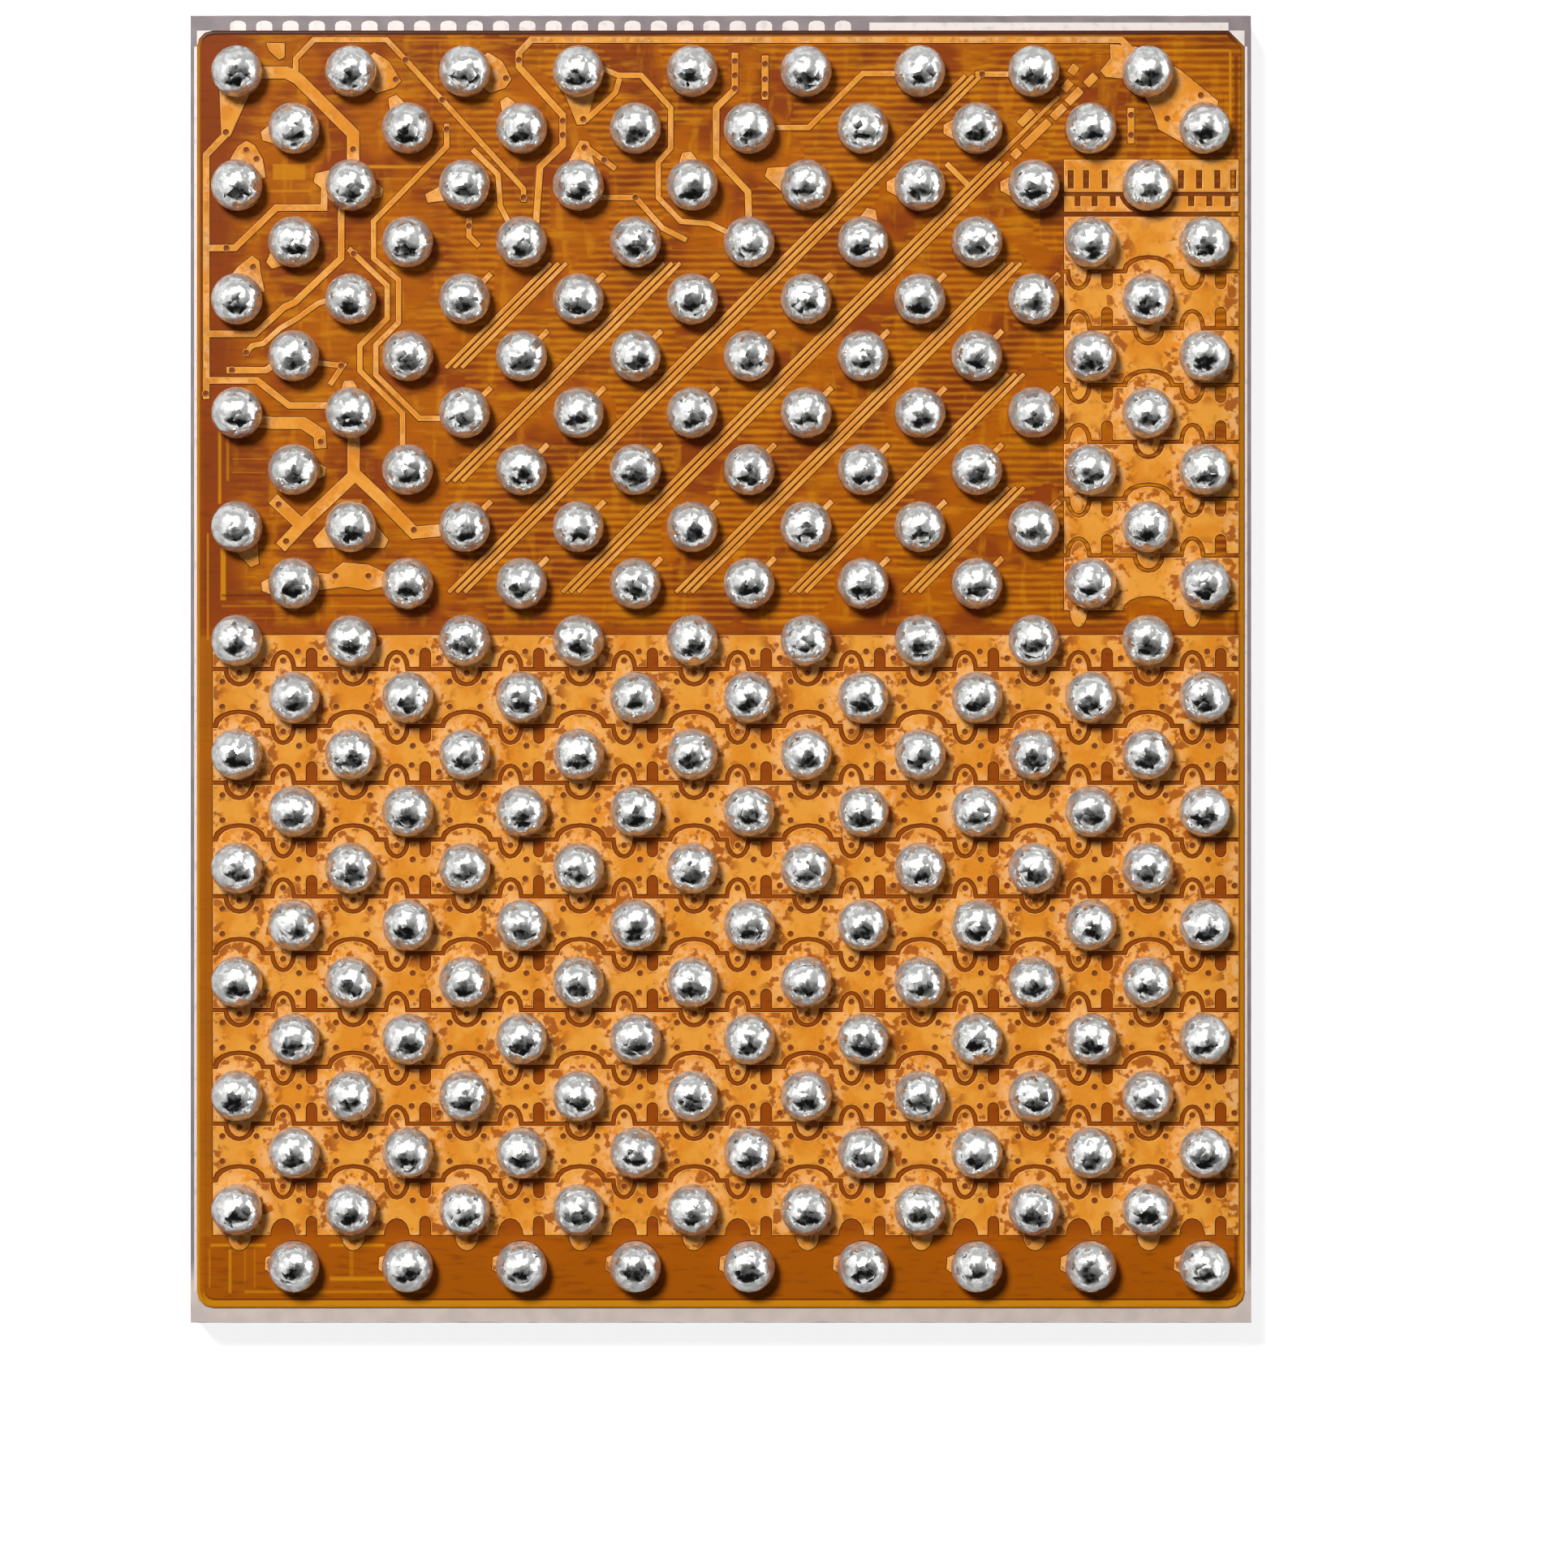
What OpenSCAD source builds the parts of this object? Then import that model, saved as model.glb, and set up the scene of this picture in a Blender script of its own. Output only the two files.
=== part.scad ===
// Bare chip with a staggered array of solder balls, lying on its back face.
// Top view: +X runs along the columns, +Y towards the first row. Units are millimetres.

/* [Ball array] */
// Distance between the centres of neighbouring balls
pitch = 0.4; // [0.38:0.01:0.5]
// Diameter of a solder ball, seen from above
ball_d = 0.256; // [0.24:0.002:0.28]
// Diameter of the under-bump pad that a ball stands on
pad_d = 0.2; // [0.18:0.005:0.225]
// Thickness of the under-bump pad above the cover film
pad_t = 0.004; // [0.003:0.001:0.008]
// Diameter of the opening in the cover film under a pad
opening_d = 0.17; // [0.12:0.005:0.19]

/* [Die] */
// From the centre of the outermost balls to the die's left and right edges
side_margin = 0.238; // [0.226:0.002:0.4]
// From the centre of the outermost balls to the die's top and bottom edges
end_margin = 0.286; // [0.27:0.002:0.4]
// Thickness of the silicon
die_t = 0.33; // [0.2:0.01:0.6]
// Thickness of the black film on the back
back_film_t = 0.04; // [0.02:0.005:0.06]
// Diameter of the round orientation mark in the back film
mark_d = 0.22; // [0.12:0.01:0.3]
// Depth of the orientation mark
mark_depth = 0.004; // [0.002:0.001:0.01]
// From the die's top edge to the centre of the orientation mark
mark_from_top = 0.35; // [0.3:0.01:0.8]
// From the die's side edge to the centre of the orientation mark
mark_from_side = 0.323; // [0.3:0.01:0.8]

/* [Films] */
// Bare strip between the films and the die's left and right edges
side_strip = 0.034; // [0.02:0.002:0.044]
// Bare strip between the films and the die's top and bottom edges
end_strip = 0.076; // [0.07:0.001:0.09]
// Radius of the films' rounded corners
film_corner_r = 0.08; // [0.02:0.005:0.1]
// Thickness of the base film under the copper
base_film_t = 0.006; // [0.004:0.001:0.012]
// Thickness of the cover film above the copper
cover_film_t = 0.006; // [0.004:0.001:0.012]

/* [Copper] */
// Thickness of the copper
copper_t = 0.008; // [0.004:0.001:0.012]
// Diameter of the copper land under each ball
land_d = 0.248; // [0.22:0.002:0.26]
// Width of the bus that runs round the edge
bus_w = 0.034; // [0.026:0.002:0.038]
// From the films' edge to the centre of the bus
bus_inset = 0.047; // [0.024:0.001:0.05]
// Width of a signal trace
signal_w = 0.028; // [0.02:0.002:0.032]
// Width of a fine trace in a diagonal bundle
fine_w = 0.02; // [0.012:0.001:0.022]
// Distance between the fine traces of a bundle
fine_pitch = 0.028; // [0.024:0.001:0.03]
// Width of a block in the chains beside a bundle
block_w = 0.042; // [0.03:0.001:0.046]
// Width of a wide trace
wide_w = 0.062; // [0.04:0.002:0.066]
// Gap between neighbouring power bands
band_gap = 0.02; // [0.012:0.001:0.024]
// Diameter of a via through the base film
via_d = 0.022; // [0.014:0.001:0.024]

/* [Scribe strip] */
// Thickness of the bare metal in the strip round the films
strip_metal_t = 0.002; // [0.001:0.0005:0.004]
// Width of the metal line along the left and right edges
edge_line_w = 0.014; // [0.006:0.001:0.018]
// Width of a test pad
test_pad_w = 0.08; // [0.05:0.005:0.11]
// Length of a test pad across the strip
test_pad_l = 0.05; // [0.03:0.005:0.06]
// Distance between the centres of neighbouring test pads
test_pad_pitch = 0.131; // [0.13:0.001:0.14]

/* [Hidden] */
test_pads = 24;
rows = 22;
cols = 18;
row_letters = ["a", "b", "c", "d", "e", "f", "g", "h", "j", "k", "l",
    "m", "n", "p", "r", "t", "u", "v", "w", "y", "aa", "ab"];
layer_nodes = ["back_film", "silicon_die", "scribe_metal", "base_film", "signal_traces",
    "comb_block", "power_bands", "edge_lands", "cover_film"];

// One cell is the distance between columns or rows of the staggered array.
cell = pitch / sqrt(2);
die_w = (cols - 1) * cell + 2 * side_margin;
die_l = (rows - 1) * cell + 2 * end_margin;
film_w = die_w - 2 * side_strip;
film_l = die_l - 2 * end_strip;

// Heights of the layers, from the back face up
die_z = back_film_t;
base_z = die_z + die_t;
copper_z = base_z + base_film_t;
cover_z = copper_z + copper_t;
pad_z = cover_z + cover_film_t;
ball_z = pad_z + pad_t;

// Columns count from the left and rows from the top; both may lie between balls.
function at(place) = [(place[0] - (cols - 1) / 2) * cell, ((rows - 1) / 2 - place[1]) * cell];
function all_at(path) = [for (place = path) at(place)];
function balls_in(row) = [row % 2 : 2 : cols - 1];
function backwards(list) = [for (i = [len(list) - 1 : -1 : 0]) list[i]];

// ---------- outlines of traces ----------

function unit(v) = v / norm(v);
function left_of(v) = [-v[1], v[0]];
function mitre(before, here, after, reach) =
    let (d1 = unit(here - before), d2 = unit(after - here))
    here + (left_of(d1) + left_of(d2)) * reach / (1 + d1 * d2);
function side_of(path, reach) = [for (i = [0 : len(path) - 1])
    i == 0 ? path[0] + left_of(unit(path[1] - path[0])) * reach
    : i == len(path) - 1 ? path[i] + left_of(unit(path[i] - path[i - 1])) * reach
    : mitre(path[i - 1], path[i], path[i + 1], reach)];

// A trace of even width along a path of places, with mitred corners
module trace(places, width) {
    path = all_at(places);
    polygon(concat(side_of(path, width / 2), backwards(side_of(path, -width / 2))));
}

// A neck that narrows from one place to another
module neck(from, to, wide, narrow) {
    across = left_of(unit(at(to) - at(from)));
    polygon([at(from) + across * wide / 2, at(from) - across * wide / 2,
        at(to) - across * narrow / 2, at(to) + across * narrow / 2]);
}

module land(place) translate(at(place)) circle(d = land_d, $fn = 32);

// ---------- signal copper of rows 0 to 9 ----------

// The bus keeps its distance from the films' edge: its column on the left and its row at the top
bus_left = -(side_margin - side_strip - bus_inset) / cell;
bus_top = -(end_margin - end_strip - bus_inset) / cell;
bus_paths = [
    [[-0.21, 1.09], [bus_left, 1.45], [bus_left, 5.75]],
    [[bus_left, 3.09], [-0.05, 3.09], [0.68, 2.38], [1.52, 2.38], [1.52, 1.95]],
    [[bus_left, 4.6], [0.3, 4.6], [0.82, 4.13], [1, 4.05], [1.82, 3.27], [1.82, 2.3]],
    [[bus_left, 5.42], [0.34, 5.42], [0.9, 5.86], [1.7, 5.86]],
    [[-0.2, 5.24], [0.5, 5.24], [0.7, 5.1]],
    [[5.25, 2.65], [5.32, 1.66], [5.72, 1.28], [5.72, 0.75], [4.95, -0.1],
        [4.95, -0.35], [5.17, bus_top], [15.55, bus_top], [15.85, -0.27]],
    [[8.75, -0.35], [8.75, 0.3], [8.42, 0.62], [8.42, 1.5], [8.98, 2.1], [9, 2.7]],
    [[9.28, -0.3], [9.28, 0.48]],
    [[15.72, 0.62], [15.72, 1.25]],
];
signal_paths = [
    [[1.02, 0.05], [1.02, -0.24], [1.34, bus_top], [2.62, bus_top],
        [3.02, -0.15], [5.03, 2.05], [5.03, 2.28]],
    [[4.13, 1.35], [4.58, 1.8], [4.62, 2.35], [4.8, 2.7]],
    [[3.68, 0.9], [3.68, 1.3], [2.39, 2.62], [2.39, 3.27], [2.83, 3.65], [2.83, 4.4],
        [2.43, 4.8], [2.43, 5.32], [3.2, 6.09], [3.7, 6.09]],
    [[1.95, 3.1], [2.63, 3.75], [2.63, 4.33], [2.15, 4.81], [2.15, 5.25], [2.9, 6], [2.9, 6.7]],
    [[1.68, 3.97], [1.4, 4.07], [1.05, 4.33], [0.75, 4.5], [0.45, 4.77], [0.25, 4.81], [0.12, 4.97]],
    [[1.3, 5.1], [1.85, 5.16], [1.62, 5.5]],
    [[6.35, -0.1], [6.7, 0.05], [7.1, 0.05], [7.62, 0.62], [7.62, 1.33], [7.4, 1.58],
        [7.4, 2.2], [7.8, 2.62], [8.3, 2.66], [8.7, 2.85]],
    [[6.72, 0.1], [6.65, 0.35], [6.12, 0.85]],
    [[6.12, 1.3], [6.65, 1.7]],
    [[6.3, 2.2], [7, 2.2], [7.48, 2.74], [7.9, 2.95]],
    [[11.7, 0.02], [11, 0.02], [10.05, 0.97], [9.3, 0.97]],
    [[13.7, 0.03], [12.98, 0.03]],
    [[12.47, 1.6], [12.85, 1.98]],
    [[4.07, 2.55], [4.07, 2.88], [4.25, 3.06]],
];
thin_path = [[14.45, 0.42], [13.25, 1.62]];
wide_paths = [
    [[0.1, 0], [0.85, 0], [1.05, 0.1], [2.03, 1.08], [2.03, 1.7]],
    [[0.3, 6.12], [0.6, 6.17], [1.15, 6.17], [1.44, 6.36], [1.46, 6.62]],
    [[2.04, 6.3], [2.04, 7.1], [1.12, 7.97], [0.75, 8.36]],
    [[0.62, 7.5], [1.12, 7.97]],
    [[2.04, 7.05], [2.5, 7.48], [3.1, 8.1], [3.65, 8.05]],
];
// Necks from a ball's land to a via: [ball, via, width at the ball in shares of the land]
neck_end = 1.6; // width at the via, in signal widths
necks = [
    [[0, 0], [-0.21, 1.12], 0.8],
    [[3, 1], [2.72, 0.42], 0.7], [[5, 1], [4.68, 0.46], 0.7],
    [[1, 1], [0.42, 1.12], 0.9], [[2, 2], [2.55, 2.12], 0.7],
    [[2, 2], [1.35, 1.85], 0.9], [[4, 2], [3.32, 2.22], 0.5], [[6, 0], [6.05, 0.92], 0.9],
    [[6, 2], [6.1, 1.2], 0.9], [[8, 2], [7.9, 1.4], 0.9],
    [[10, 2], [9.3, 1.75], 0.9], [[13, 1], [12.42, 1], 0.9],
    [[14, 2], [13.42, 2], 0.9], [[12, 2], [11.42, 2], 0.9],
    [[11, 3], [11.15, 2.4], 0.8], [[1, 7], [1.55, 7.02], 0.8],
    [[2, 8], [1.35, 8.3], 0.9], [[2, 8], [2.62, 8.3], 0.9], [[1, 9], [0.42, 9.05], 0.8],
    [[0, 8], [0.3, 8.68], 0.8], [[1, 3], [0.55, 3.4], 0.8],
    [[2, 6], [1.95, 5.42], 0.8],
];
// Plates: broad copper between a ball and its vias
plates = [
    [[0, 2], [-0.25, 1.72], [0, 1.3], [0.15, 1.2], [0.3, 1.28], [0.44, 1.52], [0.5, 1.85]],
    [[0, 4], [-0.25, 3.72], [0, 3.42], [0.25, 3.22], [0.38, 3.32], [0.42, 3.6], [0.48, 3.85]],
    [[2, 0], [2.4, -0.36], [2.66, -0.2], [2.88, 0.15], [2.76, 0.27], [2.44, 0.37]],
    [[4, 0], [4.4, -0.36], [4.66, -0.2], [4.82, 0.12], [4.72, 0.27], [4.44, 0.37]],
    [[16, 0], [15.85, -0.45], [15.35, -0.5], [15.36, -0.25], [15.18, -0.03], [15.27, 0.08], [15.7, 0.12]],
    [[16, 0], [16.4, -0.14], [16.52, -0.1], [17.26, 0.5], [17.2, 1], [16.62, 1.24],
        [16.2, 1], [16.12, 0.72], [15.95, 0.4]],
    [[1.3, 8.8], [1.6, 8.82], [1.85, 8.62], [2.3, 8.66], [2.6, 8.8], [2.75, 9], [2.3, 9.12],
        [1.9, 9.05], [1.4, 9.12]],
    [[0.5, -0.52], [0.83, -0.52], [0.83, -0.27], [0.73, -0.22], [0.55, -0.38]],
];
// Chains of short blocks beside the thin line at the top right
blocks = [
    [[14.76, -0.12], [14.66, 0.02]], [[14.66, 0.16], [14.53, 0.31]],
    [[15.1, 0.05], [14.93, 0.22]], [[14.84, 0.3], [14.6, 0.54]], [[14.55, 0.59], [14.34, 0.8]],
    [[14.28, 0.86], [13.82, 1.31]], [[13.76, 1.37], [13.64, 1.49]], [[14, 0.68], [13.76, 0.92]],
];
// Diagonal bundles: [sum of column and row along the bundle, first row, last row]
bundles = [[9, 3.35, 5.2], [11, 3.35, 7.2], [13, 0.05, 9.15], [15, 1.57, 9.15],
    [17, 3.35, 9.15], [19, 5.3, 9.15], [21, 7.3, 9.15]];
bundle_lines = [-1, 0, 1];

// Places where a signal trace goes down through the base film
trace_vias = [[-0.21, 1.05], [-0.56, 5.65], [2.95, -0.22], [3.6, 0.48], [3.68, 1], [5.03, 2.2],
    [4.95, -0.22], [5.72, 0.85], [5.72, 1.1], [6.08, 0.82], [8.75, -0.2], [8.75, 0.05], [8.75, 0.28],
    [9.28, -0.15], [9.28, 0.12], [9.28, 0.38], [6.1, 1.32], [6.45, 1.54], [2.03, 1.35], [-0.1, 5.24],
    [0.15, 4.93], [1.46, 6.5], [15.72, 0.75], [15.72, 1.1], [0.72, 7.6], [0.85, 8.25], [3.1, 8.05],
    [2.04, 3.19], [2.3, 8.86], [13.1, 0.03], [4.07, 2.7], [7, 2.2], [1.82, 5.16], [-0.2, 3.09],
    [0.15, 1.36], [0.33, 1.52], [0.27, 3.42], [2.78, 0.12], [4.72, 0.1], [16.36, 0.81], [16.95, 0.4],
    [1.72, 8.86]];

// Balls of rows 0 to 9 that the comb and the power bands don't reach
power_side = 14.54;
function is_signal(col, row) = row < 2 || col < power_side;
signal_balls = [for (row = [0 : 9]) for (col = balls_in(row)) if (is_signal(col, row)) [col, row]];
// Inside the array each ball has one diagonal stub between the bundles.
stub_from = 4;
stub_reach = 0.46;
stub_balls = [for (ball = signal_balls) if (ball[0] >= stub_from && ball[1] >= stub_from) ball];

module bundle(sum, first, last) {
    spread = fine_pitch * sqrt(2) / cell;
    for (i = bundle_lines)
        trace([[sum + i * spread - first, first], [sum + i * spread - last, last]], fine_w);
}

module signal_shape() {
    for (p = plates) polygon(all_at(p));
    for (b = blocks) trace(b, block_w);
    trace(thin_path, fine_w);
    for (ball = signal_balls) land(ball);
    for (path = bus_paths) trace(path, bus_w);
    for (path = signal_paths) trace(path, signal_w);
    for (path = wide_paths) trace(path, wide_w);
    for (n = necks) neck(n[0], n[1], n[2] * land_d, neck_end * signal_w);
    for (b = bundles) bundle(b[0], b[1], b[2]);
    for (ball = stub_balls) trace([ball, ball + [stub_reach, -stub_reach]], signal_w);
}

// ---------- power bands ----------

// Each row of balls from row 10 down shares one band. The gap between two bands swings round
// tabs: below every ball of an even row, in a wide arch above it, and beside it.
below_tab = [0.03, 0.24, 0.27]; // place along the period, half width and reach, in cells
above_tab = [0.03, 0.42, 0.25];
beside_tab = [0.8, 0.19, 0.3];
slot = [1.2, 1.4]; // sides, in cells
slot_depths = [0.34, 0.28]; // under even and odd rows
half_gap = band_gap / 2 / cell;
first_band = 10;
last_band = 20;
side_bands = [3 : 9];
band_left = -0.44;
band_right = 17.62;

function tab(shape, way, side) = [for (a = [0 : 22.5 : 180])
    [shape[0] - (shape[1] + way * side * half_gap) * cos(a), way * shape[2] * sin(a)]];
// A slot with a round end
function slot_cut(way, depth) = let (radius = (slot[1] - slot[0]) / 2)
    concat([[slot[0], 0]], [for (a = [0 : 30 : 180])
        [slot[0] + radius * (1 - cos(a)), way * (depth - radius * (1 - sin(a)))]], [[slot[1], 0]]);

// One edge of the gap under the given row: side is -1 for the band above it and 1 for the one below.
function gap_edge(row, side, from, to) =
    let (way = row % 2 == 0 ? 1 : -1)
    let (period = concat(tab(way > 0 ? below_tab : above_tab, way, side), tab(beside_tab, -way, side),
        side == -way ? slot_cut(-way, slot_depths[row % 2]) : []))
    let (level = row + 0.5 + side * half_gap)
    concat([[from, level]],
        [for (k = [0 : 2 : cols - 2]) for (p = period)
            if (k + p[0] > from && k + p[0] < to) [k + p[0], level + p[1]]],
        [[to, level]]);

module band(row, from, to, flat_top = 0) {
    top = flat_top > 0 ? [[from, row - flat_top], [to, row - flat_top]] : gap_edge(row - 1, 1, from, to);
    polygon(all_at(concat(top, backwards(gap_edge(row, -1, from, to)))));
}

first_band_top = 0.1;
module power_shape() {
    for (col = balls_in(first_band)) land([col, first_band]);
    band(first_band, band_left, band_right, first_band_top);
    for (row = [first_band + 1 : last_band]) band(row, band_left, band_right);
    for (row = side_bands)
        band(row, power_side, band_right, row == side_bands[0] ? 0.5 - half_gap : 0);
}

// Vias of one period of two columns and two rows
period_vias = [[-0.27, 1.16], [0.27, 1.16], [-0.27, 0.72], [0.33, 0.72], [0.03, 0.57], [0.8, 0.35], [0.8, 1.6],
    [1.06, 0.19], [1.54, 0.31], [1.08, 1.85]];
power_vias = [for (row = [first_band : 2 : last_band - 2]) for (col = [0 : 2 : cols - 2])
    for (v = period_vias) [col, row] + v];

// ---------- comb block ----------

comb_top = 1.53;
comb_split = 2.14;
comb_bottom = 2.45;
comb_slot = 0.1; // width of a slot, in cells
upper_slots = [14.66, 14.93, 15.26, 16.6, 16.92, 17.24, 17.52]; // these are closed at both ends
upper_slot_ends = [1.72, 2.04];
lower_slots = [14.78, 15.08, 15.4, 16.78, 17.1, 17.42];
comb_ball = [16, 2];

module cell_box(from, to) polygon(all_at([from, [to[0], from[1]], to, [from[0], to[1]]]));

// The part of a ball's land below a level, as one arc from right to left
arc_steps = 12;
function land_below(ball, level) =
    let (reach = land_d / 2 / cell, from = asin((level - ball[1]) / reach))
    [for (step = [0 : arc_steps]) let (a = from + step * (180 - 2 * from) / arc_steps)
        ball + reach * [cos(a), sin(a)]];

module comb_shape() {
    upper_bottom = comb_split - half_gap;
    difference() {
        polygon(all_at(concat([[power_side, comb_top], [band_right, comb_top], [band_right, upper_bottom]],
            land_below(comb_ball, upper_bottom), [[power_side, upper_bottom]])));
        for (c = upper_slots)
            cell_box([c - comb_slot / 2, upper_slot_ends[0]], [c + comb_slot / 2, upper_slot_ends[1]]);
    }
    difference() {
        cell_box([power_side, comb_split + half_gap], [band_right, comb_bottom]);
        for (c = lower_slots)
            cell_box([c - comb_slot / 2, comb_split], [c + comb_slot / 2, comb_bottom - comb_slot]);
        translate(at(comb_ball)) circle(d = land_d + 2 * band_gap, $fn = 32);
    }
}

// ---------- bottom row ----------

// Each land of the last row narrows to a neck at its left: place of its end, and width at the land
edge_neck = [-0.52, -0.04];
edge_neck_share = 0.8;

module edge_shape() {
    for (col = balls_in(rows - 1)) {
        ball = [col, rows - 1];
        land(ball);
        neck(ball, ball + edge_neck, edge_neck_share * land_d, wide_w);
    }
}

// ---------- layers ----------

function arc_corner(centre, radius, from) = [for (a = [from : 30 : from + 90])
    centre + radius * [cos(a), sin(a)]];

// Outline of the films: three rounded corners and a cut one at the top right
module film_outline() {
    x = film_w / 2 - film_corner_r;
    y = film_l / 2 - film_corner_r;
    polygon(concat(
        [[film_w / 2, y], [x, film_l / 2]],
        arc_corner([-x, y], film_corner_r, 90),
        arc_corner([-x, -y], film_corner_r, 180),
        arc_corner([x, -y], film_corner_r, 270)));
}

module plate(z, thickness) translate([-die_w / 2, -die_l / 2, z]) cube([die_w, die_l, thickness]);

module back_film() color("#17181f") difference() {
    plate(0, back_film_t);
    translate([mark_from_side - die_w / 2, die_l / 2 - mark_from_top, 0])
        cylinder(d = mark_d, h = 2 * mark_depth, center = true, $fn = 48);
}

module silicon_die() color("#b5aab0") plate(die_z, die_t);

// A test pad: straight towards the films, with a low arch on the far side
module test_pad() {
    half = test_pad_w / 2;
    arch = half / 2;
    polygon(concat([[-half, 0], [half, 0]],
        [for (a = [0 : 36 : 180]) [half * cos(a), test_pad_l - arch + arch * sin(a)]]));
}

// Bare metal round the films: a line along each side, a row of test pads and a plain band at the top
module scribe_metal() color("#e8e2e0") translate([0, 0, base_z]) linear_extrude(strip_metal_t) {
    line_l = film_l - 2 * film_corner_r;
    for (side = [-1, 1])
        translate([side * (film_w + edge_line_w) / 2, 0]) square([edge_line_w, line_l], center = true);
    top = film_l / 2;
    first_x = at([0, 0])[0];
    for (i = [0 : test_pads - 1]) translate([first_x + i * test_pad_pitch, top]) test_pad();
    band_from = first_x + test_pads * test_pad_pitch;
    translate([band_from, top]) square([film_w / 2 - film_corner_r - band_from, 0.8 * test_pad_l]);
    difference() {
        for (side = [-1, 1]) translate([side * (film_w - film_corner_r) / 2, top - film_corner_r / 2])
            square(film_corner_r, center = true);
        film_outline();
    }
}

module vias(places) for (v = places) translate(concat(at(v), base_z))
    cylinder(d = via_d, h = base_film_t, $fn = 16);

module base_film() color("#b8791e") difference() {
    translate([0, 0, base_z]) linear_extrude(base_film_t) film_outline();
    vias(concat(trace_vias, power_vias));
}

module copper(places) color("#e8a050") {
    translate([0, 0, copper_z]) linear_extrude(copper_t) children();
    vias(places);
}

module signal_traces() copper(trace_vias) signal_shape();
module comb_block() copper([]) comb_shape();
module power_bands() copper(power_vias) power_shape();
module edge_lands() copper([]) edge_shape();

module cover_film() color("#d8952c", 0.6) {
    translate([0, 0, copper_z]) linear_extrude(copper_t) difference() {
        film_outline();
        signal_shape();
        comb_shape();
        power_shape();
        edge_shape();
    }
    translate([0, 0, cover_z]) linear_extrude(cover_film_t) difference() {
        film_outline();
        for (row = [0 : rows - 1]) for (col = balls_in(row))
            translate(at([col, row])) circle(d = opening_d, $fn = 32);
    }
}

// ---------- pads and balls ----------

// Under-bump pad: a plug in the cover film's opening with a rim over the film
module pad() {
    cylinder(d = opening_d, h = cover_film_t, $fn = 32);
    translate([0, 0, cover_film_t]) cylinder(d = pad_d, h = pad_t, $fn = 32);
}

// Reflowed ball: a sphere cut flat where it wets the pad
module ball() {
    ball_r = ball_d / 2;
    pad_r = pad_d / 2;
    rotate_extrude($fn = 32) intersection() {
        translate([0, sqrt(ball_r * ball_r - pad_r * pad_r)]) circle(r = ball_r, $fn = 48);
        square([ball_d, 2 * ball_d]);
    }
}

module pad_row(row) color("#c8b8a8")
    for (col = balls_in(row)) translate(concat(at([col, row]), cover_z)) pad();

module ball_row(row) color("#d4d6d8")
    for (col = balls_in(row)) translate(concat(at([col, row]), ball_z)) ball();

back_film();
silicon_die();
scribe_metal();
base_film();
signal_traces();
comb_block();
power_bands();
edge_lands();
cover_film();
for (i = [0 : rows - 1]) {
    pad_row(i);
    ball_row(i);
}
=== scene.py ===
"""Looks of a bare wafer-level chip, ball side up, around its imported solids."""

import bpy
import numpy as np
from bpy.props import FloatProperty, FloatVectorProperty, IntProperty, PointerProperty
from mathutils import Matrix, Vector


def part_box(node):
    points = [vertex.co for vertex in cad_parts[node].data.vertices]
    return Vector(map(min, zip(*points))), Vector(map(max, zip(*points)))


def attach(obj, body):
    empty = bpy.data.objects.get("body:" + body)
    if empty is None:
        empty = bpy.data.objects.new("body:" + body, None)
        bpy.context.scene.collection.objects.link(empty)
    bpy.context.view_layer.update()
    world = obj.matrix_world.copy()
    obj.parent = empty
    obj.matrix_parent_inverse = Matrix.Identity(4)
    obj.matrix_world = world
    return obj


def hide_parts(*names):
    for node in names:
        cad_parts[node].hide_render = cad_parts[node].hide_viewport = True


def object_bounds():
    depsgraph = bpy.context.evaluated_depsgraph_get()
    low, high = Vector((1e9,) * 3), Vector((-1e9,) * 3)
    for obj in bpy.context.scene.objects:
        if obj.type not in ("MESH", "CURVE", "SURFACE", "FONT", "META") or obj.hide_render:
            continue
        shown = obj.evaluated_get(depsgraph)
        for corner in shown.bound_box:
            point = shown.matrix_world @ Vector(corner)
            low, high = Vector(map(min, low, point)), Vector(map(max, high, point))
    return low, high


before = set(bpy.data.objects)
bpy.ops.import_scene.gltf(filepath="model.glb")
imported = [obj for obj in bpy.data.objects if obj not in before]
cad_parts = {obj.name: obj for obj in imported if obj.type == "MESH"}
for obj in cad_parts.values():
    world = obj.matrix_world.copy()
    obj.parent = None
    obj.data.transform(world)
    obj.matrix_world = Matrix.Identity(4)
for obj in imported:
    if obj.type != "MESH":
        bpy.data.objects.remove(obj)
cad_bounds = [list(corner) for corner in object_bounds()]

bl_info = {
    "name": "Ball Grid Chip",
    "version": (1, 0, 0),
    "blender": (4, 5, 0),
    "location": "View3D > Sidebar > Chip",
    "description": "Draped films, reflowed balls, sawn silicon and a studio around the packed chip",
    "category": "Object",
}

BODY = "root"
UM = 1e-6  # a micrometre in metres
LEVEL_SLACK = 0.1 * UM  # how far a face's corners may lie from its level
MERGE = 0.02 * UM  # points this near each other are one
MITRE = 2.2  # longest mitre, in offsets
HALVINGS = 12  # how often an offset is halved where a face would turn over
COPPER_NODES = ("signal_traces", "comb_block", "power_bands", "edge_lands")


# ---------- places ----------


def rows_of(prefix):
    """Names of the nodes of that kind, from the first row of balls to the last."""
    names = [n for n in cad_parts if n.startswith(prefix)]
    return sorted(names, key=lambda n: -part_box(n)[0].y)


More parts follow.
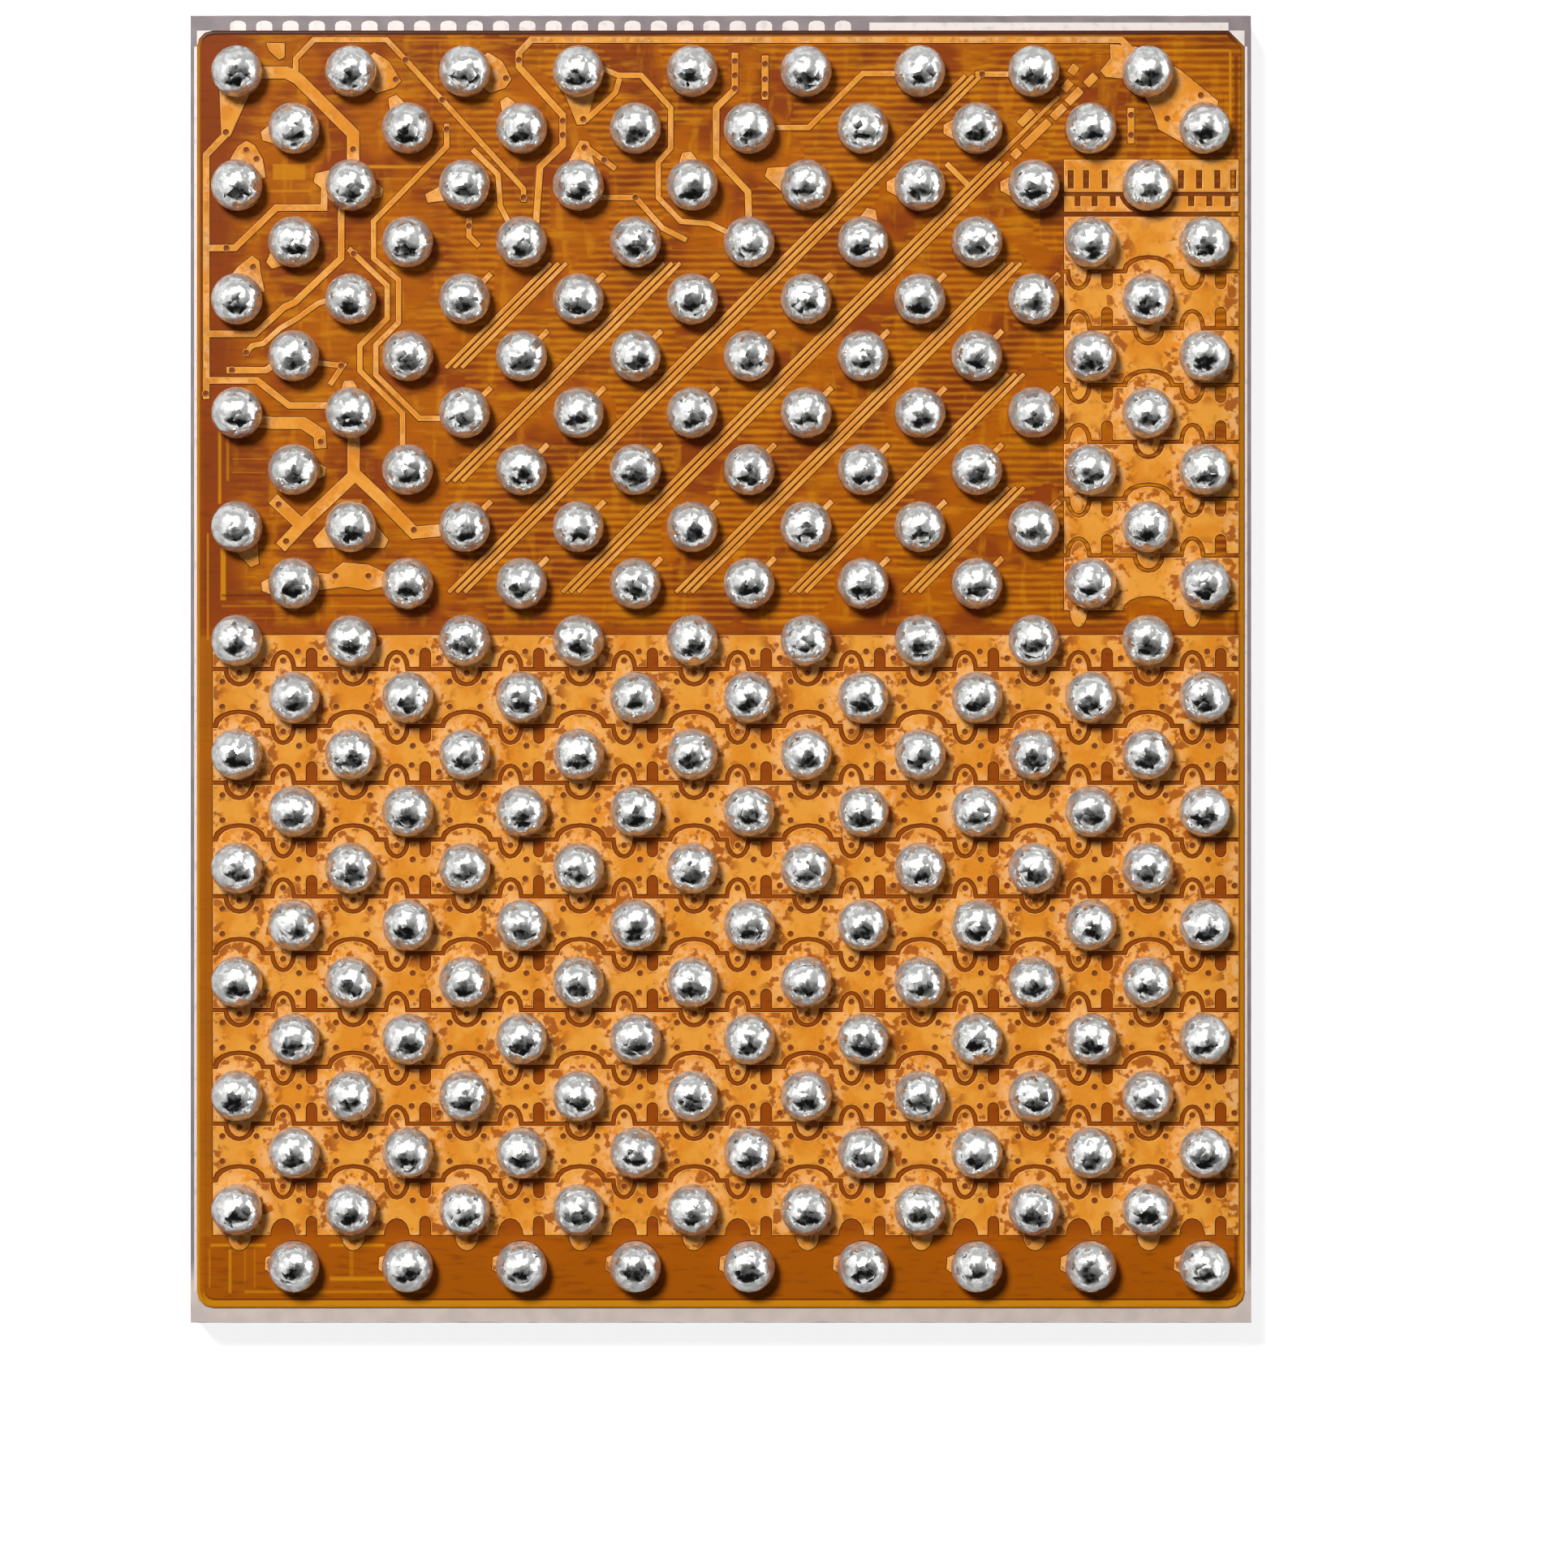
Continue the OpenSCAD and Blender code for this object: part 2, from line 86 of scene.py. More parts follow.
BALL_ROWS = rows_of("ball_row_")
PAD_ROWS = rows_of("pad_row_")
FIRST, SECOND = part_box(BALL_ROWS[0]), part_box(BALL_ROWS[1])
BALL_R = (FIRST[1].y - FIRST[0].y) / 2
CELL = SECOND[0].x - FIRST[0].x  # step of the grid, along and across
HOME = (FIRST[0].x + BALL_R, (FIRST[0].y + FIRST[1].y) / 2)  # axis of the first ball
BALLS_A_ROW = round((FIRST[1].x - FIRST[0].x - 2 * BALL_R) / (2 * CELL)) + 1
FILM_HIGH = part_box("cover_film")[1]
DIE_LOW, DIE_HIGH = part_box("silicon_die")


# ---------- settings ----------


def linear(red, green, blue):
    """Linear colour of a display colour given from 0 to 255."""
    v = np.array((red, green, blue)) / 255
    return tuple(float(x) for x in np.where(v <= 0.04045, v / 12.92, ((v + 0.055) / 1.055) ** 2.4))


def colour(name, description, *display):
    """A colour setting whose default is given as a display colour."""
    return FloatVectorProperty(
        name=name, description=description, default=linear(*display),
        subtype="COLOR", size=3, min=0, max=1,
    )


def length(name, description, default):
    """A length setting in metres."""
    return FloatProperty(
        name=name, description=description, default=default,
        unit="LENGTH", subtype="DISTANCE", precision=6,
    )


def share(name, description, default):
    """A setting from 0 to 1."""
    return FloatProperty(
        name=name, description=description, default=default, min=0, max=1, subtype="FACTOR"
    )



class ChipFilmSettings(bpy.types.PropertyGroup):
    """Cover film, draped over the copper."""

    valley: length("Valley", "How far the film sinks between the copper", 5.5 * UM)
    inset: length("Inset", "How far inside the copper's edge the film starts to fall", 4.5 * UM)
    outset: length("Outset", "How far outside the copper's edge the film has fallen", 3.5 * UM)
    crater: length("Crater", "Height of the rim round the dimple over a via", 1.2 * UM)
    copper: colour("Copper", "Copper seen through the film", 250, 168, 60)
    copper_deep: colour("Deep copper", "Darker patches of the copper", 240, 148, 36)
    # The bright line along the copper's edge is a painted highlight; the same colour also makes the
    # copper's fine flecks.
    copper_flecks_and_painted_edge_light: colour("Copper edge", "Bright line along the copper's edge", 255, 192, 100)
    # Painted highlight in patches round the balls.
    painted_land_highlight: colour("Lands", "Roughened copper round the balls", 252, 187, 114)
    spots: colour("Spots", "Dark spots of the copper round the balls", 180, 94, 22)
    # Painted shade on the film at the copper's foot; the same colour makes the dark lines and clouds
    # of the film between.
    dark_lines_and_painted_foot_shade: colour("Flank", "Film on the copper's flank", 112, 46, 8)
    via: colour("Via", "Hollow of the film over a via", 140, 68, 16)
    bare: colour("Bare film", "Film over the plain die", 150, 66, 10)
    amber: colour("Amber film", "Film over the die's metal", 184, 96, 2)
    # Also the colour of the painted highlight along the film's rim.
    gold_and_painted_rim_light: colour("Gold lines", "The die's top metal, seen through the film", 226, 146, 16)
    # Painted shade along the film's rim on its far side, and in a thin band on its near side.
    painted_rim_shade_colour: colour("Dark rim", "Film's rim on its far side", 84, 38, 14)


class ChipBallSettings(bpy.types.PropertyGroup):
    """Reflowed solder balls and their pads."""

    around: IntProperty(name="Around", description="Faces round a ball", default=32, min=12, max=64)
    down: IntProperty(name="Down", description="Faces from tip to foot", default=18, min=8, max=40)
    facets: IntProperty(name="Facets", description="Flat spots on a ball", default=14, min=0, max=40)
    facet_depth: share("Facet depth", "Deepest flat spot, in shares of the ball's radius", 0.02)
    seed: IntProperty(name="Seed", description="Start of the random draws", default=11)
    solder: colour("Solder", "Tin-silver solder", 234, 234, 232)
    pad: colour("Pad", "Plated rim under the balls", 226, 186, 150)


class ChipDieSettings(bpy.types.PropertyGroup):
    """Silicon die, its strip and its back film."""

    step: length("Step", "Distance between the points of the sawn edge", 22 * UM)
    wear: length("Wear", "Deepest chip in the sawn edge", 5 * UM)
    silicon: colour("Silicon", "Border of the die", 150, 134, 136)
    pale: colour("Pale border", "Border of the die on its near side", 236, 218, 210)
    sawn: colour("Sawn silicon", "Sawn sides of the die", 92, 88, 92)
    strip_metal: colour("Strip metal", "Test pads and lines beside the films", 238, 228, 222)
    back: colour("Back film", "Film on the back face", 23, 26, 33)


class ChipStageSettings(bpy.types.PropertyGroup):
    """Studio: floor, soft lights, surroundings and camera."""

    view: length("View", "Width of the camera's view at the films", 7.805e-3)
    shift_x: length("Shift X", "From the chip's centre to the camera's axis", 0.315e-3)
    shift_y: length("Shift Y", "From the chip's centre to the camera's axis", -0.572e-3)
    lens: FloatProperty(name="Lens", description="Focal length in millimetres", default=200, min=50)
    floor: length("Floor", "Side of the floor", 0.16)
    distance: length("Lamp distance", "From the chip to each lamp", 0.09)
    level: FloatProperty(
        name="Lamp level", description="Brightness of the lamps' faces", default=1.5, min=0
    )
    surround: FloatProperty(
        name="Surround", description="Brightness of the room", default=0.55, min=0
    )


SETTINGS = {
    "chip_film": ChipFilmSettings,
    "chip_balls": ChipBallSettings,
    "chip_die": ChipDieSettings,
    "chip_stage": ChipStageSettings,
}


# ---------- meshes ----------


def triangles(node):
    """Corners of a node's triangles, as one array of places."""
    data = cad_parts[node].data
    places = np.zeros(len(data.vertices) * 3)
    data.vertices.foreach_get("co", places)
    index = np.zeros(len(data.loops), int)
    data.loops.foreach_get("vertex_index", index)
    return places.reshape(-1, 3)[index.reshape(-1, 3)]


def flat_faces(node, level):
    """The node's triangles that lie at a height, as merged points and index triples."""
    corners = triangles(node)
    corners = corners[(np.abs(corners[:, :, 2] - level) < LEVEL_SLACK).all(axis=1)][:, :, :2]
    points, index = np.unique(np.round(corners.reshape(-1, 2) / MERGE), axis=0, return_inverse=True)
    faces = index.reshape(-1, 3)
    distinct = (faces != np.roll(faces, 1, axis=1)).all(axis=1)
    return points * MERGE, faces[distinct]


def outline_edges(faces):
    """Directed edges that only one triangle has, with the face on their left."""
    edges = np.concatenate([faces[:, [0, 1]], faces[:, [1, 2]], faces[:, [2, 0]]])
    span = faces.max() + 1
    there, back = edges[:, 0] * span + edges[:, 1], edges[:, 1] * span + edges[:, 0]
    return edges[~np.isin(there, back)]


def groups(edges, count):
    """For each point the lowest point that edges join it to, found by spreading the lowest
    label."""
    label = np.arange(count)
    while True:
        lower = label.copy()
        np.minimum.at(lower, edges[:, 0], label[edges[:, 1]])
        np.minimum.at(lower, edges[:, 1], label[edges[:, 0]])
        lower = lower[lower]
        if (lower == label).all():
            return label
        label = lower


def outward(points, edges):
    """Mitred outward direction of each outline point: the sum of its two edges' normals over one
    plus their cosine, no longer than the limit of a mitre."""
    along = points[edges[:, 1]] - points[edges[:, 0]]
    along /= np.maximum(np.linalg.norm(along, axis=1, keepdims=True), 1e-12)
    normal = np.stack([along[:, 1], -along[:, 0]], axis=1)
    total = np.zeros_like(points)
    np.add.at(total, edges[:, 0], normal)
    np.add.at(total, edges[:, 1], normal)
    reach = total / np.maximum((total**2).sum(axis=1, keepdims=True) / 2, 1e-9)
    size = np.linalg.norm(reach, axis=1, keepdims=True)
    return reach * np.minimum(1, MITRE / np.maximum(size, 1e-9))


def moved(points, faces, way, offset):
    """Outline moved by an offset along its outward directions. Where a face would turn over, its
    corners' offset is halved, again and again."""
    scale = np.ones(len(points))
    for _ in range(HALVINGS):
        new = points + way * (offset * scale)[:, None]
        a, b, c = (new[faces[:, k]] for k in range(3))
        area = (b - a)[:, 0] * (c - a)[:, 1] - (b - a)[:, 1] * (c - a)[:, 0]
        turned = area <= 0
        if not turned.any():
            break
        scale[faces[turned].ravel()] *= 0.5
    return new


def draped(points, faces, profile):
    """Closed shell over flat shapes: a flat top, sides that follow a profile of offset, height and
    tone from the top down, and a flat bottom. Gives places, faces, which are smooth, and tones."""
    edges = outline_edges(faces)
    way = outward(points, edges)
    count = len(points)
    rings = [
        np.column_stack([moved(points, faces, way, offset), np.full(count, height)])
        for offset, height, _ in profile
    ]
    places = np.concatenate(rings)
    tones = np.repeat([tone for _, _, tone in profile], count)
    start, end = edges[:, 0], edges[:, 1]
    below = np.stack([start, start + count, end + count, end], 1)
    steps = len(profile) - 1
    sides = np.concatenate([below + upper * count for upper in range(steps)])
    bottom = faces[:, ::-1] + steps * count
    polygons = faces.tolist() + sides.tolist() + bottom.tolist()
    smooth = np.zeros(len(polygons), bool)
    smooth[len(faces) : len(faces) + len(sides)] = True
    return places, polygons, smooth, tones


def grid_faces(rows, columns):
    """Quads of a grid of rows by columns of points that closes round on itself in columns."""
    r, c = np.meshgrid(np.arange(rows - 1), np.arange(columns), indexing="ij")
    a, b = r * columns + c, r * columns + (c + 1) % columns
    return np.stack([a, a + columns, b + columns, b], axis=-1).reshape(-1, 4)


def copies(faces, count, each):
    """The faces of a count of like bodies that have each so many points."""
    return (faces[None] + (np.arange(count) * each)[:, None, None]).reshape(-1, faces.shape[1])


def make_piece(name, places, polygons, smooth, material, replaced, values=None):
    """Puts a finished surface into the scene at the origin: it rides on the body, takes the
    material, hides the nodes it stands for, and carries its values as point attributes."""
    mesh = bpy.data.meshes.new(name)
    mesh.from_pydata(np.asarray(places).tolist(), [], [list(map(int, p)) for p in polygons])
    mesh.polygons.foreach_set("use_smooth", np.broadcast_to(smooth, len(polygons)).tolist())
    for key, numbers in (values or {}).items():
        attribute = mesh.attributes.new(key, "FLOAT", "POINT")
        attribute.data.foreach_set("value", np.asarray(numbers, np.float32))
    mesh.materials.append(material)
    mesh.update()
    piece = bpy.data.objects.new(name, mesh)
    bpy.context.scene.collection.objects.link(piece)
    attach(piece, BODY)
    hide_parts(*replaced)


def dress(node, material):
    """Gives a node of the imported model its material."""
    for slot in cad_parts[node].material_slots:
        slot.material = material


# ---------- materials ----------


def rgba(values):
    """A colour socket's four numbers."""
    return (*values[:3], 1.0)


def scaled(values, share):
    """A colour that is darker or lighter by a share."""
    return tuple(share * c for c in values)


class Graph:
    """Adds nodes to a node tree. An input that is itself a socket is linked."""

    def __init__(self, tree):
        self.tree = tree

    def add(self, kind, inputs=None, **settings):
        node = self.tree.nodes.new(kind)
        for key, value in settings.items():
            setattr(node, key, value)
        for key, value in (inputs or {}).items():
            if isinstance(value, bpy.types.NodeSocket):
                self.tree.links.new(value, node.inputs[key])
            else:
                node.inputs[key].default_value = value
        return node

    def math(self, operation, first, second=0.0, clamp=False):
        return self.add(
            "ShaderNodeMath", {0: first, 1: second}, operation=operation, use_clamp=clamp
        ).outputs[0]

    def times(self, first, second):
        return self.math("MULTIPLY", first, second)

    def larger(self, first, second):
        return self.math("MAXIMUM", first, second)

    def vector_math(self, operation, *vectors):
        return self.add(
            "ShaderNodeVectorMath", dict(enumerate(vectors)), operation=operation
        ).outputs[0]

    def parts(self, vector):
        """X, Y and Z of a vector."""
        return self.add("ShaderNodeSeparateXYZ", {0: vector}).outputs

    def stretched(self, vector, scale):
        return self.add("ShaderNodeMapping", {"Vector": vector, "Scale": scale}).outputs[0]

    def noise(self, place, scale, detail):
        return self.add(
            "ShaderNodeTexNoise", {"Vector": place, "Scale": scale, "Detail": detail}
        ).outputs[0]

    def bump(self, height, distance, strength, **more):
        values = {"Height": height, "Distance": distance, "Strength": strength, **more}
        return self.add("ShaderNodeBump", values).outputs[0]

    def mix(self, factor, first, second):
        """Colour between two colours."""
        pair = [v if isinstance(v, bpy.types.NodeSocket) else rgba(v) for v in (first, second)]
        return self.add(
            "ShaderNodeMix", {0: factor, 6: pair[0], 7: pair[1]}, data_type="RGBA"
        ).outputs[2]

    def between(self, value, low, high, to_low=0.0, to_high=1.0):
        """Value from low to high, mapped smoothly to another range."""
        span = {"From Min": low, "From Max": high, "To Min": to_low, "To Max": to_high}
        return self.add(
            "ShaderNodeMapRange", {"Value": value, **span}, interpolation_type="SMOOTHSTEP"
        ).outputs[0]

    def ramp(self, value, stops):
        """Colour ramp through stops of place and colour."""
        node = self.add("ShaderNodeValToRGB", {0: value})
        elements = node.color_ramp.elements
        while len(elements) < len(stops):
            elements.new(1)
        for element, (place, shade) in zip(elements, stops):
            element.position, element.color = place, rgba(shade)
        return node.outputs[0]

    def attribute(self, name):
        return self.add("ShaderNodeAttribute", attribute_name=name).outputs["Fac"]

    def cells(self):
        """Place on the chip in cells: columns to the right and rows down from the first ball."""
        coordinate = self.add("ShaderNodeTexCoord").outputs["Object"]
        return self.add(
            "ShaderNodeMapping",
            {
                "Vector": coordinate,
                "Location": (-HOME[0] / CELL, HOME[1] / CELL, 0),
                "Scale": (1 / CELL, -1 / CELL, 1 / CELL),
            },
        ).outputs[0]

    def group(self, name, **inputs):
        """The result of one of the shared groups."""
        tree = bpy.data.node_groups[name]
        return self.add("ShaderNodeGroup", inputs, node_tree=tree).outputs[0]

    def mottle(self, place, scale, detail=3.0, low=0.35, high=0.65):
        """Clouds from 0 to 1: the noise between low and high."""
        return self.group("Mottle", Place=place, Scale=scale, Detail=detail, Low=low, High=high)

    def grain(self, place, scale, height, strength=0.5):
        """A normal roughened by fine noise of that height."""
        return self.group("Grain", Place=place, Scale=scale, Height=height, Strength=strength)

    def near_balls(self, place, far, near):
        """0 from so far from a ball's axis and 1 from so near it, in cells."""
        return self.group("Near balls", Place=place, From=far, To=near)


NUMBER, VECTOR = "NodeSocketFloat", "NodeSocketVector"


def new_group(name, numbers, result, kind=NUMBER):
    """An empty node group that is given a place and named numbers, and has one result. Gives its
    graph and what it is given."""
    tree = bpy.data.node_groups.new(name, "ShaderNodeTree")
    tree.interface.new_socket(name="Place", in_out="INPUT", socket_type=VECTOR)
    for key in numbers:
        tree.interface.new_socket(name=key, in_out="INPUT", socket_type=NUMBER)
    tree.interface.new_socket(name=result, in_out="OUTPUT", socket_type=kind)
    graph = Graph(tree)
    return graph, graph.add("NodeGroupInput").outputs


def close_group(graph, socket):
    """Links the group's one result."""
    output = graph.add("NodeGroupOutput")
    graph.tree.links.new(socket, output.inputs[0])


def make_groups():
    """Effects that several materials share."""
    graph, given = new_group("Mottle", ["Scale", "Detail", "Low", "High"], "Value")
    noise = graph.noise(given["Place"], given["Scale"], given["Detail"])
    close_group(graph, graph.between(noise, given["Low"], given["High"]))

    graph, given = new_group("Grain", ["Scale", "Height", "Strength"], "Normal", VECTOR)
    noise = graph.noise(given["Place"], given["Scale"], 2.0)
    close_group(graph, graph.bump(noise, given["Height"], given["Strength"]))

    graph, given = new_group("Box mask", ["Left", "Right", "Top", "Bottom", "Soft"], "Mask")
    column, row, _ = graph.parts(given["Place"])
    sides = [
        graph.math("SUBTRACT", column, given["Left"]),
        graph.math("SUBTRACT", given["Right"], column),
        graph.math("SUBTRACT", row, given["Top"]),
        graph.math("SUBTRACT", given["Bottom"], row),
    ]
    across, down = graph.math("MINIMUM", *sides[:2]), graph.math("MINIMUM", *sides[2:])
    nearest = graph.math("MINIMUM", across, down)
    close_group(graph, graph.math("DIVIDE", nearest, given["Soft"], clamp=True))

    graph, given = new_group("Near balls", ["From", "To"], "Mask")
    column, row, _ = graph.parts(given["Place"])
    squares = []
    for operation in ("ADD", "SUBTRACT"):
        along = graph.math("DIVIDE", graph.math(operation, column, row), 2)
        off = graph.math("SUBTRACT", along, graph.math("ROUND", along))
        squares.append(graph.times(off, off))
    distance = graph.math("SQRT", graph.times(graph.math("ADD", *squares), 2))
    close_group(graph, graph.between(distance, given["From"], given["To"]))


def new_material(name, **sockets):
    """A material with a Principled BSDF whose sockets take the values. Gives it, its graph and the
    shader."""
    material = bpy.data.materials.new(name)
    material.use_nodes = True
    graph = Graph(material.node_tree)
    shader = material.node_tree.nodes["Principled BSDF"]
    for key, value in sockets.items():
        shader.inputs[key.replace("_", " ")].default_value = value
    return material, graph, shader


def feed(graph, shader, **sockets):
    """Links sockets of nodes to the shader's inputs."""
    for key, socket in sockets.items():
        graph.tree.links.new(socket, shader.inputs[key.replace("_", " ")])


def copper_colour(graph, place, settings):
    """Copper under the film: warm patches that change slowly, fine flecks, a patchy, paler ring
    round each ball that is a painted highlight, and dark spots, most of them on the power bands."""
    patches = graph.mottle(place, 1.6, low=0.4, high=0.6)
    flecks = graph.mottle(place, 16.0, low=0.4, high=0.7)
    shade = graph.mix(patches, settings.copper, settings.copper_deep)
    shade = graph.mix(graph.times(flecks, 0.12), shade, settings.copper_flecks_and_painted_edge_light)
    # Painted highlight: paler patches in a ring round each ball.
    rough = graph.mottle(place, 9.0, 4.0, 0.38, 0.56)
    shade = graph.mix(graph.times(graph.near_balls(place, 0.74, 0.5), rough), shade, settings.painted_land_highlight)

    column, row, _ = graph.parts(place)
    right_bands = graph.times(graph.between(column, 13.8, 14.1), graph.between(row, 2.8, 3.0))
    bands = graph.larger(graph.between(row, 9.4, 9.7), right_bands)
    dark = graph.mottle(place, 5.5, low=0.51, high=0.6)
    spots = graph.times(graph.near_balls(place, 0.92, 0.62), dark)
    spots = graph.times(spots, graph.between(bands, 0.0, 1.0, 0.3, 0.95))
    return graph.mix(spots, shade, settings.spots)


def film_over_material(settings, name, foot):
    """Film over copper: the tone runs from painted shade at the foot, over a painted highlight line
    along the edge, to the copper.
    """
    material, graph, shader = new_material(name, Roughness=0.3, Specular_IOR_Level=0.14)
    place = graph.cells()
    tone = graph.attribute("tone")
    # Painted shade at the foot, a painted highlight line along the edge, then the copper.
    stops = [(0.0, foot), (0.4, foot), (0.68, settings.copper_flecks_and_painted_edge_light), (1.0, settings.copper)]
    inside = graph.between(tone, 0.8, 1.0)
    shade = graph.mix(inside, graph.ramp(tone, stops), copper_colour(graph, place, settings))
    feed(graph, shader, Base_Color=shade, Normal=graph.grain(place, 22.0, 0.5 * UM, 0.6))
    return material


LINE_PITCH = 0.134  # of the fine lines of the die's top metal, in cells

# Lines and fields of the die's top metal that show through the film, and one painted shadow band
# along the right rim: left, right, top and bottom in cells, and strength. Negative strength darkens.
DIE_METAL = [
    (-0.36, -0.28, 5.9, 7.6, 0.8), (-0.22, -0.14, 6.0, 7.2, 0.5), (-0.1, 0.6, 6.78, 6.82, 0.7),
    (-0.1, 0.5, 7.02, 7.06, 0.7), (-0.56, -0.5, 8.1, 10.0, 0.8), (-0.32, -0.2, 8.35, 9.3, 0.9),
    (-0.3, 3.4, 9.17, 9.24, -0.8), (-0.3, 3.4, 9.36, 9.42, 0.5), (-0.3, 3.4, 9.48, 9.52, -0.7),
    (-0.2, 3.4, 9.58, 9.62, 0.5), (-0.5, 0.5, 20.6, 20.68, 0.9), (1.6, 2.6, 20.6, 20.68, 0.9),
    (1.6, 2.7, 21.18, 21.28, 0.9), (-0.53, -0.47, 20.7, 21.4, 0.6), (-0.18, -0.1, 20.7, 21.5, 0.8),
    (0.1, 0.15, 20.7, 21.3, 0.5), (0.27, 0.32, 20.7, 21.4, 0.5), (1.95, 2.05, 20.7, 21.2, 0.4),
    (0.1, 3.4, 21.42, 21.5, 0.6), (-0.68, -0.42, 9.9, 20.5, 0.25),
    (-0.48, -0.43, 10.0, 20.4, -0.35), (16.1, 17.46, -0.42, -0.36, 0.9),
    (17.43, 17.5, -0.4, 1.3, 0.9), (17.62, 17.7, 1.4, 21.4, 0.8),
    # The first entry below, the dark strip at columns 17.52 to 17.62 along the right rim, is a
    # painted shadow band.
    (17.52, 17.62, -0.3, 21.3, -0.7), (14.1, 17.5, 1.55, 2.72, -0.75),
    (0.6, 1.2, 1.6, 1.9, 0.7), (0.5, 1.3, 2.05, 2.12, 0.7), (2.1, 3.3, 1.62, 1.7, 0.9),
    (2.1, 3.4, 1.84, 1.9, 0.5), (2.9, 4.9, -0.6, -0.54, 0.7), (2.3, 3.4, 2.95, 3.05, 0.6),
    (2.5, 3.3, 3.4, 3.5, 0.8), (0.3, 0.9, 8.3, 8.4, 0.6), (1.4, 2.2, 7.5, 7.6, 0.6),
]


def film_between_material(settings):
    """Film between the copper: brown over the plain die, amber with fine lines over its metal, and
    a plain brown in the gaps of the power bands."""
    material, graph, shader = new_material(
        "Film between copper", Roughness=0.26, Specular_IOR_Level=0.14
    )
    place = graph.cells()
    column, row, _ = graph.parts(place)
    lying = graph.stretched(place, (0.5, 2.4, 1))
    standing = graph.stretched(place, (2.6, 0.7, 1))
    routed = graph.times(graph.between(column, -0.3, 0.3), graph.between(row, 9.9, 9.6))

    amber = graph.times(graph.mottle(place, 0.8, 2.0, 0.4, 0.52), routed)
    last_row = graph.between(row, 20.2, 20.6, 0.25, 0.9)
    amber = graph.larger(amber, graph.times(last_row, graph.between(row, 9.6, 9.9)))
    shade = graph.mix(amber, settings.bare, settings.amber)
    clouds = graph.times(graph.mottle(lying, 2.4, low=0.5, high=0.72), 0.55)
    pillars = graph.times(graph.mottle(standing, 1.6, low=0.54, high=0.7), 0.45)
    shade = graph.mix(graph.times(graph.larger(clouds, pillars), routed), shade, settings.gold_and_painted_rim_light)

    # Fine lines of an even pitch, in some of the blocks of the die's metal.
    fields = graph.add(
        "ShaderNodeTexVoronoi",
        {"Vector": place, "Scale": 0.9, "Randomness": 0.9},
        distance="CHEBYCHEV",
        voronoi_dimensions="2D",
    ).outputs["Color"]
    field = graph.add("ShaderNodeSeparateColor", {0: fields}).outputs[1]
    lined = graph.times(graph.between(field, 0.25, 0.45), routed)
    lined = graph.times(lined, graph.between(column, 2.0, 5.0, 0.25, 1.0))
    wobble = graph.mottle(place, 3.0, 2.0, 0.0, 1.0)
    wave = graph.math("SINE", graph.math("ADD", graph.times(row, 2 * np.pi / LINE_PITCH), wobble))
    for crest, line_shade in ((0.9, settings.gold_and_painted_rim_light), (-0.9, settings.dark_lines_and_painted_foot_shade)):
        line = graph.times(graph.between(wave, -0.1, crest), 0.4)
        shade = graph.mix(graph.times(line, lined), shade, line_shade)

    soot = graph.mottle(lying, 5.0, 4.0, 0.5, 0.75)
    shade = graph.mix(graph.times(soot, 0.45), shade, settings.dark_lines_and_painted_foot_shade)
    for left, right, top, bottom, strength in DIE_METAL:
        box = {"Left": left, "Right": right, "Top": top, "Bottom": bottom}
        mask = graph.group("Box mask", Place=place, Soft=0.03, **box)
        metal = settings.gold_and_painted_rim_light if strength > 0 else settings.dark_lines_and_painted_foot_shade
        shade = graph.mix(graph.times(mask, abs(strength)), shade, metal)
    # Painted highlight and painted shade along the film's rim.
    shade = graph.mix(graph.attribute("painted_rim_light_share"), shade, settings.gold_and_painted_rim_light)
    shade = graph.mix(graph.attribute("painted_rim_shade_share"), shade, settings.painted_rim_shade_colour)
    feed(graph, shader, Base_Color=shade, Normal=graph.grain(place, 16.0, 0.5 * UM, 0.6))
    return material


def solder_material(settings):
    """Reflowed solder: bright metal in coarse grains that each lean a little another way, with dull
    blotches, and duller towards its outline."""
    material, graph, shader = new_material("Reflowed solder", Specular_IOR_Level=0.5)
    place = graph.cells()
    normal = graph.add("ShaderNodeNewGeometry").outputs["Normal"]
    for scale, lean in ((5.5, 0.3), (12.0, 0.09)):
        tint = graph.add("ShaderNodeTexVoronoi", {"Vector": place, "Scale": scale}).outputs["Color"]
        aside = graph.vector_math("SUBTRACT", tint, (0.5, 0.5, 0.5))
        normal = graph.vector_math("MULTIPLY_ADD", aside, (lean, lean, lean), normal)
    normal = graph.vector_math("NORMALIZE", normal)
    normal = graph.bump(graph.noise(place, 24.0, 3.0), 1.2 * UM, 0.2, Normal=normal)
    blotch = graph.mottle(place, 8.0, 2.0, 0.4, 0.65)
    shade = graph.mix(blotch, settings.solder, scaled(settings.solder, 0.68))
    rough = graph.between(blotch, 0.0, 1.0, 0.14, 0.3)
    facing = graph.add("ShaderNodeLayerWeight").outputs["Facing"]
    facing = graph.math("ADD", facing, graph.times(blotch, 0.12))
    metallic = graph.between(facing, 0.2, 0.5, 1.0, 0.55)
    feed(graph, shader, Base_Color=shade, Roughness=rough, Normal=normal, Metallic=metallic)
    return material


# ---------- operators ----------


class CHIP_OT_back_film(bpy.types.Operator):
    """Matt black film on the back face, with fine grain."""

    bl_idname = "chip.back_film"
    bl_label = "Back Film"

    def execute(self, context):
        settings = context.scene.chip_die
        material, graph, shader = new_material(
            "Black back film", Roughness=0.55, Specular_IOR_Level=0.2
        )
        place = graph.cells()
        shade = graph.mix(graph.mottle(place, 1.5), settings.back, scaled(settings.back, 1.3))
        feed(graph, shader, Base_Color=shade, Normal=graph.grain(place, 40.0, 0.4 * UM))
        dress("back_film", material)
        return {"FINISHED"}


